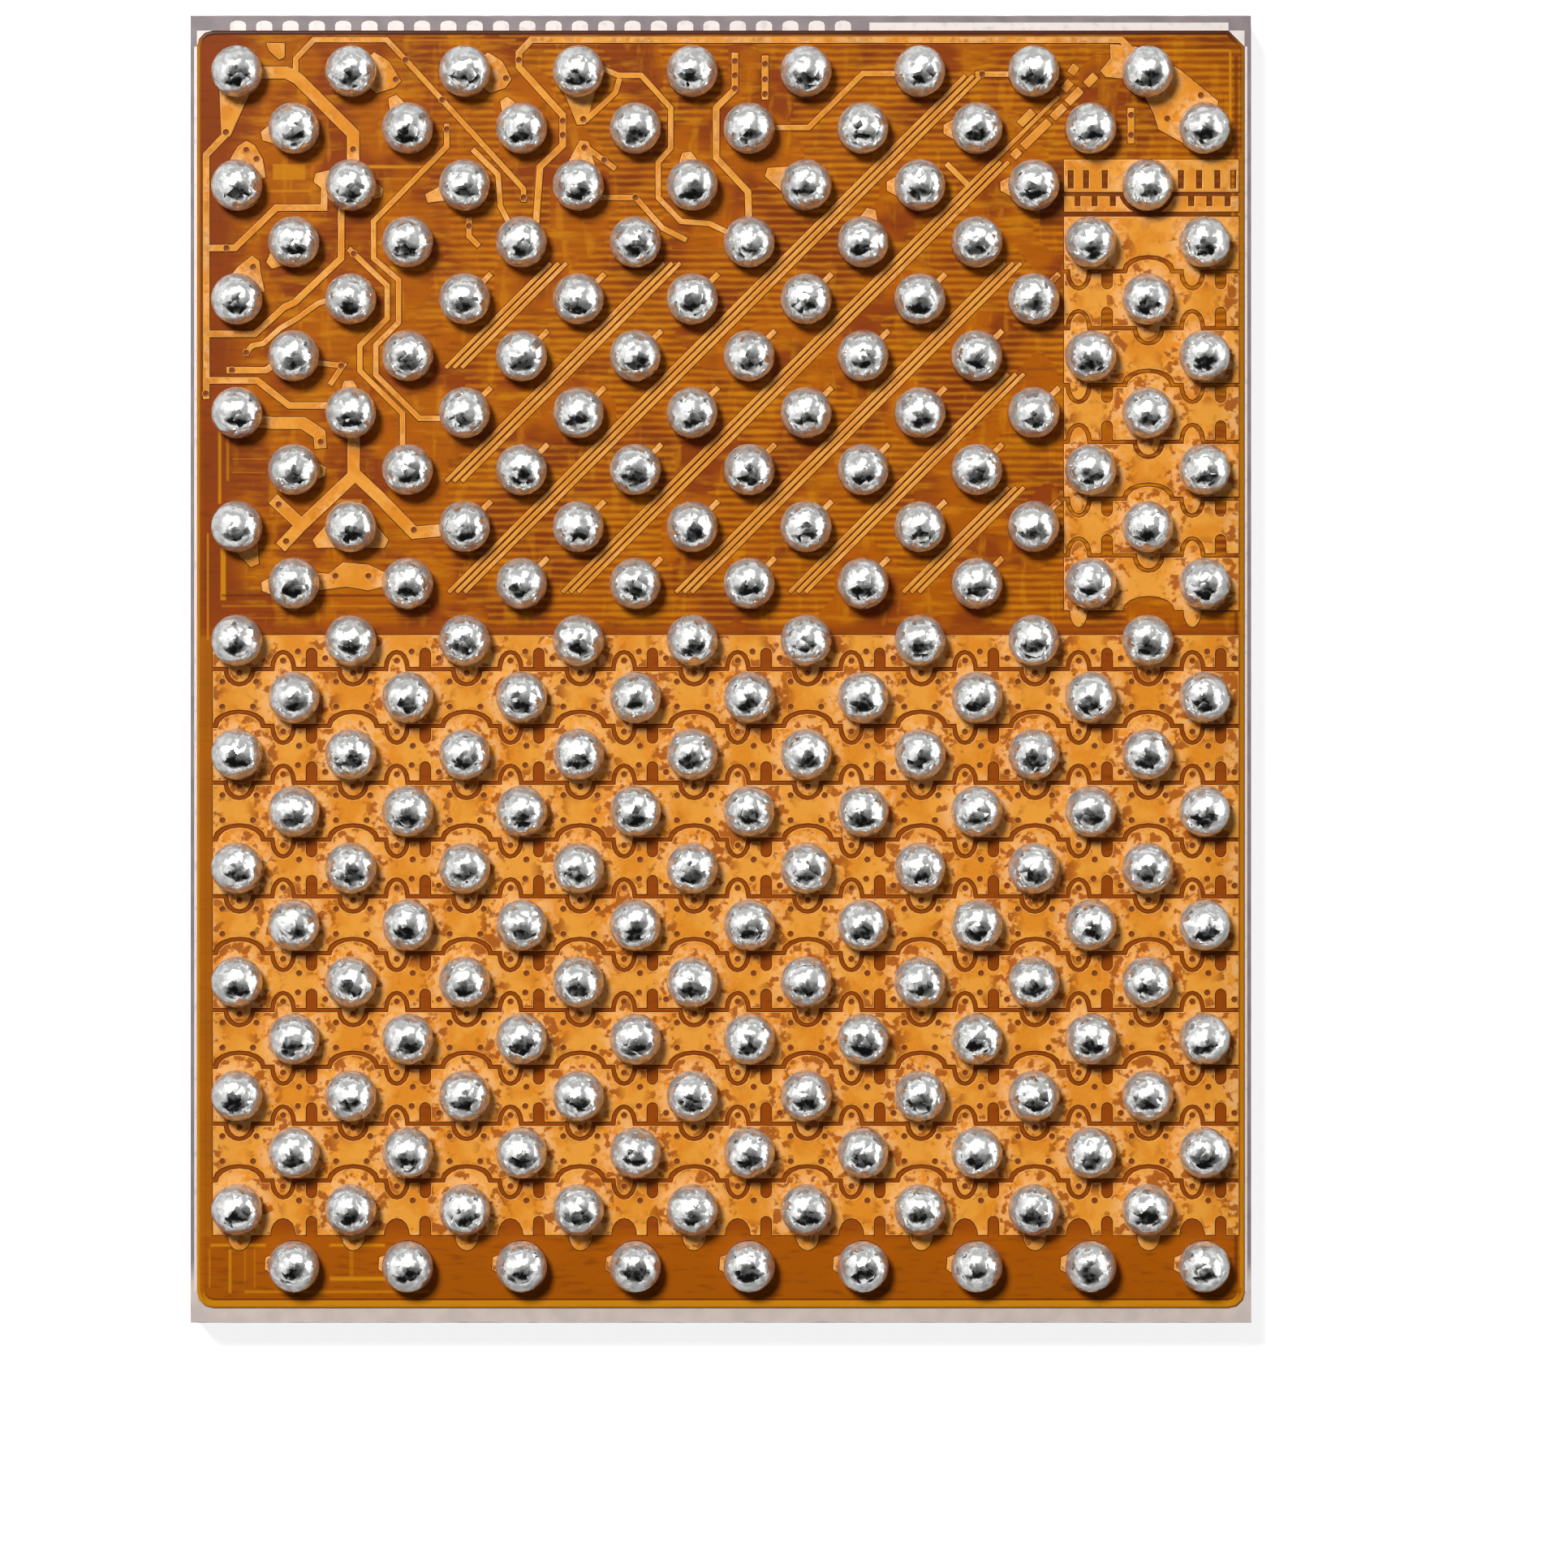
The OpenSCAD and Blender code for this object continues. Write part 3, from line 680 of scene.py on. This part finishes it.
def wander(along, waves, seed, height=0.0):
    """Smooth random line from -1 to 1 that closes on itself: a sum of sines over one turn, whose
    phases drift with height."""
    draw = np.random.default_rng(seed)
    phase, size = draw.uniform(0, 2 * np.pi, len(waves)), draw.uniform(0.4, 1, len(waves))
    drift = draw.uniform(-3, 3, len(waves))
    angle = np.multiply.outer(along * 2 * np.pi, waves) + phase + np.multiply.outer(height, drift)
    return (np.sin(angle) * size).sum(axis=-1) / size.sum()


def rectangle(low, high, step):
    """Points round a rectangle, counter-clockwise and evenly spaced on each side, with their
    outward directions."""
    corners = np.array([(low[0], low[1]), (high[0], low[1]), (high[0], high[1]), (low[0], high[1])])
    sides = np.roll(corners, -1, axis=0) - corners
    points, ways = [], []
    for corner, side in zip(corners, sides):
        size = np.linalg.norm(side)
        t = np.arange(int(size / step)) / int(size / step)
        points.append(corner + t[:, None] * side)
        way = np.tile([side[1] / size, -side[0] / size], (len(t), 1))
        way[0] += [-side[0] / size, -side[1] / size]
        ways.append(way)
    return np.concatenate(points), np.concatenate(ways)


class CHIP_OT_die(bpy.types.Operator):
    """Sawn die: sides with saw marks and a slightly chipped upper edge."""

    bl_idname = "chip.die"
    bl_label = "Sawn Die"

    # Heights of the side's rings in shares of the die's height, and how far each is worn.
    RINGS = [
        (0.0, 1.2), (0.004, 0.4), (0.1, 0.0), (0.25, 0.0), (0.4, 0.0), (0.55, 0.0),
        (0.7, 0.0), (0.85, 0.0), (0.95, 0.0), (0.985, 0.35), (0.996, 1.0), (1.0, 2.2),
    ]
    # Waves in a turn, or up the side, of the saw marks, of their bands and of the chips.
    MARKS = np.array([61, 97, 143, 211])
    BANDS = np.array([3, 5, 7])
    CHIPS = np.array([29, 53, 83, 131, 197])
    CHIPPED = 0.12  # height above which a crest of the chips' line is a chip

    def execute(self, context):
        settings = context.scene.chip_die
        base, ways = rectangle(DIE_LOW, DIE_HIGH, settings.step)
        count = len(base)
        along = np.arange(count) / count
        share_up, worn = np.array(self.RINGS).T
        marks = wander(along[None, :], self.MARKS, seed=3, height=share_up[:, None] * 4)
        bands = wander(share_up[:, None] + 0 * along, self.BANDS, seed=5)
        chips = np.maximum(wander(along, self.CHIPS, seed=8), self.CHIPPED) - self.CHIPPED
        depth = (0.5 + 0.3 * marks + 0.2 * bands) * 0.25
        depth = depth + worn[:, None] * (0.15 + 1.2 * chips)
        depth = np.clip(depth, 0, 1) * settings.wear
        sides = base[None] - ways[None] * depth[..., None]
        heights = DIE_LOW.z + share_up * (DIE_HIGH.z - DIE_LOW.z)
        walls = np.concatenate([sides, np.repeat(heights[:, None, None], count, 1)], axis=2)
        ring = np.column_stack([base - ways * 0.6 * settings.step, np.full(count, DIE_HIGH.z)])
        places = np.concatenate([walls.reshape(-1, 3), ring])
        rows = len(share_up) + 1
        step = np.arange(count)
        polygons = grid_faces(rows, count)[:, ::-1].tolist()
        polygons += [(step + (rows - 1) * count).tolist(), step[::-1].tolist()]
        smooth = np.ones(len(polygons), bool)
        smooth[-count - 2 :] = False
        sawn = np.repeat(np.r_[np.ones(len(share_up) - 2), 0.5, 0.0, 0.0], count)
        make_piece(
            "sawn_die", places, polygons, smooth, self.material(settings),
            ["silicon_die"], {"sawn": sawn},
        )
        return {"FINISHED"}

    def material(self, settings):
        """Lilac grey silicon, paler on the near side of its border, and darker and streaked on its
        sawn sides."""
        material, graph, shader = new_material(
            "Sawn silicon", Roughness=0.42, Specular_IOR_Level=0.6
        )
        place = graph.cells()
        cloud = graph.mottle(place, 2.2, 4.0, 0.3, 0.7)
        border = graph.mix(cloud, settings.silicon, scaled(settings.silicon, 0.72))
        pale = graph.mix(cloud, settings.pale, scaled(settings.pale, 0.85))
        _, row, _ = graph.parts(place)
        border = graph.mix(graph.between(row, 20.8, 21.4, 0, 0.9), border, pale)
        along_saw = graph.stretched(place, (0.6, 0.6, 30.0))
        streaks = graph.mottle(along_saw, 1.6, 4.0)
        side = graph.mix(streaks, settings.sawn, scaled(settings.sawn, 0.55))
        shade = graph.mix(graph.attribute("sawn"), border, side)
        feed(graph, shader, Base_Color=shade, Normal=graph.grain(along_saw, 6.0, 0.8 * UM, 0.6))
        return material


class CHIP_OT_strip_metal(bpy.types.Operator):
    """Bare metal of the strip round the films, pale and slightly stained."""

    bl_idname = "chip.strip_metal"
    bl_label = "Strip Metal"

    def execute(self, context):
        settings = context.scene.chip_die
        material, graph, shader = new_material("Strip metal", Metallic=0.15, Roughness=0.4)
        place = graph.cells()
        stain = graph.mottle(place, 6.0, low=0.5, high=0.75)
        shade = graph.mix(stain, settings.strip_metal, scaled(settings.strip_metal, 0.8))
        feed(graph, shader, Base_Color=shade, Normal=graph.grain(place, 30.0, 0.4 * UM))
        dress("scribe_metal", material)
        return {"FINISHED"}


class CHIP_OT_base_film(bpy.types.Operator):
    """Base film and copper that the cover film hides, in their own finishes."""

    bl_idname = "chip.base_film"
    bl_label = "Base Film and Copper"

    def execute(self, context):
        settings = context.scene.chip_film
        film, graph, shader = new_material("Base film", Roughness=0.35)
        cloud = graph.mottle(graph.cells(), 2.0)
        feed(graph, shader, Base_Color=graph.mix(cloud, settings.bare, settings.amber))
        dress("base_film", film)
        copper, graph, shader = new_material("Plated copper", Metallic=1.0, Roughness=0.32)
        place = graph.cells()
        shade = copper_colour(graph, place, settings)
        feed(graph, shader, Base_Color=shade, Normal=graph.grain(place, 40.0, 0.4 * UM))
        for node in COPPER_NODES:
            dress(node, copper)
        return {"FINISHED"}


class CHIP_OT_cover_film(bpy.types.Operator):
    """Cover film: a slab with a soft rim, raised where it is draped over the copper."""

    bl_idname = "chip.cover_film"
    bl_label = "Cover Film"

    # The rings of the rim, and how far its painted highlight and painted shade reach in from the
    # edge, in micrometres.
    INSETS = np.array([0, 0, 2, 7, 12, 20, 26, 36, 39, 45, 48])
    GOLD_NEAR, GOLD_BESIDE, DARK_FAR = 37, 13, 21
    PAINTED_SHADE_NEAR = (38, 46)

    def execute(self, context):
        settings = context.scene.chip_film
        top = FILM_HIGH.z
        low = top - settings.valley
        self.slab(settings, low)
        # Film over copper, with painted shade at its foot and a painted highlight line along its
        # edge.
        over = film_over_material(settings, "Film over copper", settings.dark_lines_and_painted_foot_shade)
        inset, outset = settings.inset, settings.outset
        # Tones 1 and 0.72 take the copper and its painted highlight line; 0.4 and below take the
        # painted shade of the foot.
        profile = [
            (-inset, top, 1.0),
            (-0.5 * inset, top - 0.1 * settings.valley, 0.72),
            (0.0, top - 0.5 * settings.valley, 0.4),
            (outset, low - 0.2 * UM, 0.05),
            (outset, low - 1.5 * UM, 0.0),
        ]
        for node in COPPER_NODES:
            points, faces = flat_faces(node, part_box(node)[1].z)
            places, polygons, smooth, tones = draped(points, faces, profile)
            make_piece(
                "film_over_" + node, places, polygons, smooth, over,
                ["cover_film"], {"tone": tones},
            )
        return {"FINISHED"}

    def slab(self, settings, low):
        """The film between the copper: rings that follow the film's own outline inwards and down its
        rim. The rim carries painted shade on its far side and a painted highlight on its near side
        and its sides, with a thin band of painted shade inside the highlight on the near side."""
        points, faces = flat_faces("cover_film", FILM_HIGH.z)
        label = groups(outline_edges(faces), len(points))
        rim = points[label == label[np.argmax(points[:, 0])]]
        rim = rim[np.argsort(np.arctan2(rim[:, 1], rim[:, 0]))]
        count = len(rim)
        step = np.arange(count)
        way = outward(rim, np.stack([step, (step + 1) % count], 1))
        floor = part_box("base_film")[1].z
        bend = np.array([floor, floor + 2 * UM, low - 3 * UM, low - UM])
        rows, flat = len(self.INSETS), len(self.INSETS) - len(bend)
        rings = zip(self.INSETS * UM, np.r_[bend, np.full(flat, low)])
        places = np.concatenate(
            [np.column_stack([rim - way * inset, np.full(count, z)]) for inset, z in rings]
        )
        near, far = np.clip(-way[:, 1], 0, 1), np.clip(way[:, 1], 0, 1)
        beside = np.clip(np.abs(way[:, 0]) - 0.5, 0, 1)
        inset = self.INSETS[:, None]
        # Shares of painted highlight and painted shade in each ring of the rim, by side.
        painted_rim_light_share = 0.95 * near * (inset < self.GOLD_NEAR) + 1.4 * beside * (inset < self.GOLD_BESIDE)
        near_shade_rings = (inset > self.PAINTED_SHADE_NEAR[0]) & (inset < self.PAINTED_SHADE_NEAR[1])
        painted_rim_shade_share = far * (inset < self.DARK_FAR) + 0.6 * near * near_shade_rings
        polygons = grid_faces(rows, count)[:, ::-1].tolist()
        polygons += [(step + (rows - 1) * count).tolist(), step[::-1].tolist()]
        smooth = np.arange(len(polygons)) < len(bend) * count
        values = {"painted_rim_light_share": np.clip(painted_rim_light_share, 0, 1).ravel(), "painted_rim_shade_share": np.clip(painted_rim_shade_share, 0, 1).ravel()}
        make_piece(
            "film_between_copper", places, polygons, smooth, film_between_material(settings),
            ["cover_film"], values,
        )


class CHIP_OT_via_dimples(bpy.types.Operator):
    """Dimples in the cover film over the vias: a low rim round a dark hollow."""

    bl_idname = "chip.via_dimples"
    bl_label = "Via Dimples"

    SIDES = 12

    def execute(self, context):
        settings = context.scene.chip_film
        centres, radius = self.vias()
        crater = settings.crater
        reach = np.array([1.75, 1.6, 1.45, 1.25, 0.7]) * radius
        rise = np.array([-0.3 * UM, 0.6 * crater, crater, 0.5 * crater, 0.2 * UM])
        tones = [0.95, 0.9, 0.5, 0.2, 0.0]
        step = np.arange(self.SIDES)
        turn = step * 2 * np.pi / self.SIDES
        ring = np.stack([np.cos(turn), np.sin(turn)], 1)
        flat = centres[:, None, None] + reach[:, None, None] * ring
        high = np.broadcast_to((FILM_HIGH.z + rise)[:, None, None], (*flat.shape[:3], 1))
        places = np.concatenate([flat, high], axis=3).reshape(-1, 3)
        each = len(reach) * self.SIDES
        quads = copies(grid_faces(len(reach), self.SIDES)[:, ::-1], len(centres), each)
        ends = copies(np.stack([step + each - self.SIDES, step[::-1]]), len(centres), each)
        polygons = quads.tolist() + ends.tolist()
        material = film_over_material(settings, "Film over vias", settings.via)
        make_piece(
            "via_dimples", places, polygons, True, material, ["cover_film"],
            {"tone": np.tile(np.repeat(tones, self.SIDES), len(centres))},
        )
        return {"FINISHED"}

    def vias(self):
        """Centres of the vias' feet, and the largest radius: each foot is a group of joined
        triangles at the lowest level of a node that reaches into the base film."""
        centres, radius = [], 0.0
        for node in COPPER_NODES:
            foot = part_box(node)[0].z
            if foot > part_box("base_film")[0].z + UM:
                continue
            points, faces = flat_faces(node, foot)
            label = groups(np.concatenate([faces[:, :2], faces[:, 1:]]), len(points))
            _, owner, size = np.unique(label, return_inverse=True, return_counts=True)
            middle = np.stack([np.bincount(owner, points[:, k]) / size for k in (0, 1)], 1)
            radius = max(radius, np.linalg.norm(points - middle[owner], axis=1).max())
            centres.append(middle)
        return np.concatenate(centres), radius


class CHIP_OT_pads(bpy.types.Operator):
    """Plated rims of the under-bump pads."""

    bl_idname = "chip.pads"
    bl_label = "Under-bump Pads"

    def execute(self, context):
        settings = context.scene.chip_balls
        material, graph, shader = new_material("Pad plating", Metallic=0.6, Roughness=0.35)
        place = graph.cells()
        shade = graph.mix(graph.mottle(place, 8.0), settings.pad, scaled(settings.pad, 0.75))
        feed(graph, shader, Base_Color=shade, Normal=graph.grain(place, 30.0, 0.4 * UM))
        for node in PAD_ROWS:
            dress(node, material)
        return {"FINISHED"}


class CHIP_OT_balls(bpy.types.Operator):
    """Solder balls with flat spots and a wetted foot, one piece to a row."""

    bl_idname = "chip.balls"
    bl_label = "Solder Balls"

    def execute(self, context):
        settings = context.scene.chip_balls
        material = solder_material(settings)
        around, each = settings.around, (settings.down + 1) * settings.around
        step = np.arange(around)
        quads = copies(grid_faces(settings.down + 1, around), BALLS_A_ROW, each)
        ends = copies(np.stack([step, (step + each - around)[::-1]]), BALLS_A_ROW, each)
        polygons = quads.tolist() + ends.tolist()
        for index, node in enumerate(BALL_ROWS):
            low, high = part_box(node)
            draw = np.random.default_rng(settings.seed * 100 + index)
            across = np.linspace(low.x + BALL_R, high.x - BALL_R, BALLS_A_ROW)
            y, z = (low.y + high.y) / 2, high.z - BALL_R
            places = np.concatenate([self.ball(settings, draw, (x, y, z), low.z) for x in across])
            make_piece(
                node.replace("ball", "solder"), places, polygons, True, material, [node]
            )
        return {"FINISHED"}

    def ball(self, settings, draw, centre, foot):
        """One ball: a point's distance from the centre is the ball's radius, or less where one of
        the random planes cuts a flat spot, and the last ring lies on the foot."""
        last = np.arccos((foot - centre[2]) / BALL_R)
        tilt = np.linspace(0.02, last, settings.down + 1)[:, None]
        turn = (np.arange(settings.around) * 2 * np.pi / settings.around)[None]
        across = np.sin(tilt)
        way = np.stack([across * np.cos(turn), across * np.sin(turn), np.cos(tilt) + 0 * turn], -1)
        planes = draw.normal(size=(settings.facets, 3)) + [0, 0, 0.5]
        planes /= np.linalg.norm(planes, axis=1, keepdims=True)
        depth = draw.uniform(0.2, 1, settings.facets) * settings.facet_depth
        cut = (1 - depth) / np.maximum(way @ planes.T, 1e-3)
        radius = BALL_R * np.minimum(1, np.where(way @ planes.T > 0.3, cut, 1).min(axis=-1))
        radius[-1] = BALL_R
        return (np.array(centre) + way * radius[..., None]).reshape(-1, 3)


class CHIP_OT_stage(bpy.types.Operator):
    """Pale floor, key lamp, softboxes, a lamp under the floor, a plain room with a dark near side,
    and the camera."""

    bl_idname = "chip.stage"
    bl_label = "Stage"

    LAMPS = [
        # name, tilt from straight up and bearing from +X in degrees, width and height in shares of
        # the distance, share of the level, whether it lights more than the metal's reflections
        ("key_lamp", 28, 126, 0.22, 0.22, 36.5, True),
        ("left_softbox", 50, 170, 1.2, 0.8, 0.5, False),
        ("right_softbox", 76, 8, 1.0, 0.8, 1.0, False),
        ("top_softbox", 38, 84, 0.62, 0.66, 1.35, False),
        ("under_lamp", 180, 0, 0.9, 0.9, 2.8, True),
    ]

    def execute(self, context):
        settings = context.scene.chip_stage
        scene = context.scene
        scene.view_settings.view_transform = "Standard"
        self.floor(scene, settings)
        for lamp in self.LAMPS:
            self.lamp(scene, settings, *lamp)
        self.room(scene, settings)
        self.camera(scene, settings)
        return {"FINISHED"}

    def floor(self, scene, settings):
        """White floor that looks evenly white from above and is clear from below, also to the
        lamp under it."""
        mesh = bpy.data.meshes.new("floor")
        half, z = settings.floor / 2, cad_bounds[0][2] - 2 * UM
        corners = [(-half, -half, z), (half, -half, z), (half, half, z), (-half, half, z)]
        mesh.from_pydata(corners, [], [(0, 1, 2, 3)])
        floor = bpy.data.objects.new("floor", mesh)
        scene.collection.objects.link(floor)
        white = (0.86, 0.86, 0.86, 1)
        material, graph, shader = new_material(
            "White floor", Base_Color=white, Roughness=0.9, Emission_Color=(1, 1, 1, 1)
        )
        paths = graph.add("ShaderNodeLightPath")
        feed(graph, shader, Emission_Strength=graph.times(paths.outputs["Is Camera Ray"], 0.86))
        clear = graph.add("ShaderNodeBsdfTransparent")
        back = graph.add("ShaderNodeNewGeometry").outputs["Backfacing"]
        gone = graph.larger(back, paths.outputs["Is Shadow Ray"])
        shaders = {1: shader.outputs[0], 2: clear.outputs[0]}
        both = graph.add("ShaderNodeMixShader", {0: gone, **shaders})
        output = material.node_tree.nodes["Material Output"]
        graph.tree.links.new(both.outputs[0], output.inputs["Surface"])
        mesh.materials.append(material)

    def lamp(self, scene, settings, name, tilt, bearing, width, height, level, lights):
        """Soft lamp that faces the chip. Its power is pi times its brightness and area."""
        data = bpy.data.lights.new(name, "AREA")
        data.shape = "RECTANGLE"
        data.size, data.size_y = width * settings.distance, height * settings.distance
        data.energy = np.pi * data.size * data.size_y * settings.level * level
        lamp = bpy.data.objects.new(name, data)
        tilt, bearing = np.radians(tilt), np.radians(bearing)
        way = Vector((np.sin(tilt) * np.cos(bearing), np.sin(tilt) * np.sin(bearing), np.cos(tilt)))
        lamp.location = way * settings.distance
        lamp.rotation_mode = "QUATERNION"
        lamp.rotation_quaternion = way.to_track_quat("Z", "Y")
        lamp.visible_camera = False
        lamp.visible_diffuse = lights
        scene.collection.objects.link(lamp)

    def room(self, scene, settings):
        """Room light: bright near the horizon and on the far side, dark above the near side, and
        white to the camera. The dark field is an ellipse in the direction's X and Y."""
        world = bpy.data.worlds.new("room")
        world.use_nodes = True
        scene.world = world
        graph = Graph(world.node_tree)
        background = world.node_tree.nodes["Background"]
        way = graph.add("ShaderNodeTexCoord").outputs["Generated"]
        x, y, z = graph.parts(way)
        far = graph.between(y, -0.25, 0.25, 0.3, 1.0)
        across = graph.math("DIVIDE", x, 0.8)
        deep = graph.math("DIVIDE", graph.math("ADD", y, 0.66), 0.34)
        field = graph.math("ADD", graph.times(across, across), graph.times(deep, deep))
        light = graph.between(field, 0.7, 1.3, 0.03, 1.0)
        overhead = graph.between(z, 0.99, 0.95, 0.25, 1.0)
        horizon = graph.between(z, 0.36, 0.2, 0.0, 1.7)
        level = graph.times(graph.times(far, light), overhead)
        level = graph.larger(level, horizon)
        level = graph.times(level, settings.surround)
        paths = graph.add("ShaderNodeLightPath")
        told = graph.math("ADD", graph.times(paths.outputs["Is Glossy Ray"], 0.93), 0.07)
        seen = graph.larger(paths.outputs["Is Camera Ray"], graph.times(level, told))
        background.inputs["Color"].default_value = (1, 1, 1, 1)
        graph.tree.links.new(seen, background.inputs["Strength"])

    def camera(self, scene, settings):
        """Long lens straight above, far enough for the view to have its width at the films."""
        data = bpy.data.cameras.new("camera")
        data.lens = settings.lens
        camera = bpy.data.objects.new("camera", data)
        far = settings.view * settings.lens / data.sensor_width
        camera.location = (settings.shift_x, settings.shift_y, FILM_HIGH.z + far)
        data.clip_start, data.clip_end = far / 50, far * 20
        scene.collection.objects.link(camera)
        scene.camera = camera


OPERATORS = (
    CHIP_OT_back_film,
    CHIP_OT_die,
    CHIP_OT_strip_metal,
    CHIP_OT_base_film,
    CHIP_OT_cover_film,
    CHIP_OT_via_dimples,
    CHIP_OT_pads,
    CHIP_OT_balls,
    CHIP_OT_stage,
)


class CHIP_PT_pieces(bpy.types.Panel):
    """Lists the chip's pieces."""

    bl_label = "Chip"
    bl_idname = "CHIP_PT_pieces"
    bl_space_type = "VIEW_3D"
    bl_region_type = "UI"
    bl_category = "Chip"

    def draw(self, context):
        for operator in OPERATORS:
            self.layout.operator(operator.bl_idname)


CLASSES = (*SETTINGS.values(), *OPERATORS, CHIP_PT_pieces)


def register():
    for cls in CLASSES:
        bpy.utils.register_class(cls)
    for name, cls in SETTINGS.items():
        setattr(bpy.types.Scene, name, PointerProperty(type=cls))


def unregister():
    for name in SETTINGS:
        delattr(bpy.types.Scene, name)
    for cls in reversed(CLASSES):
        bpy.utils.unregister_class(cls)


def main():
    """Builds every piece."""
    register()
    make_groups()
    for operator in OPERATORS:
        getattr(bpy.ops.chip, operator.bl_idname.split(".")[1])()


if __name__ == "__main__":
    main()
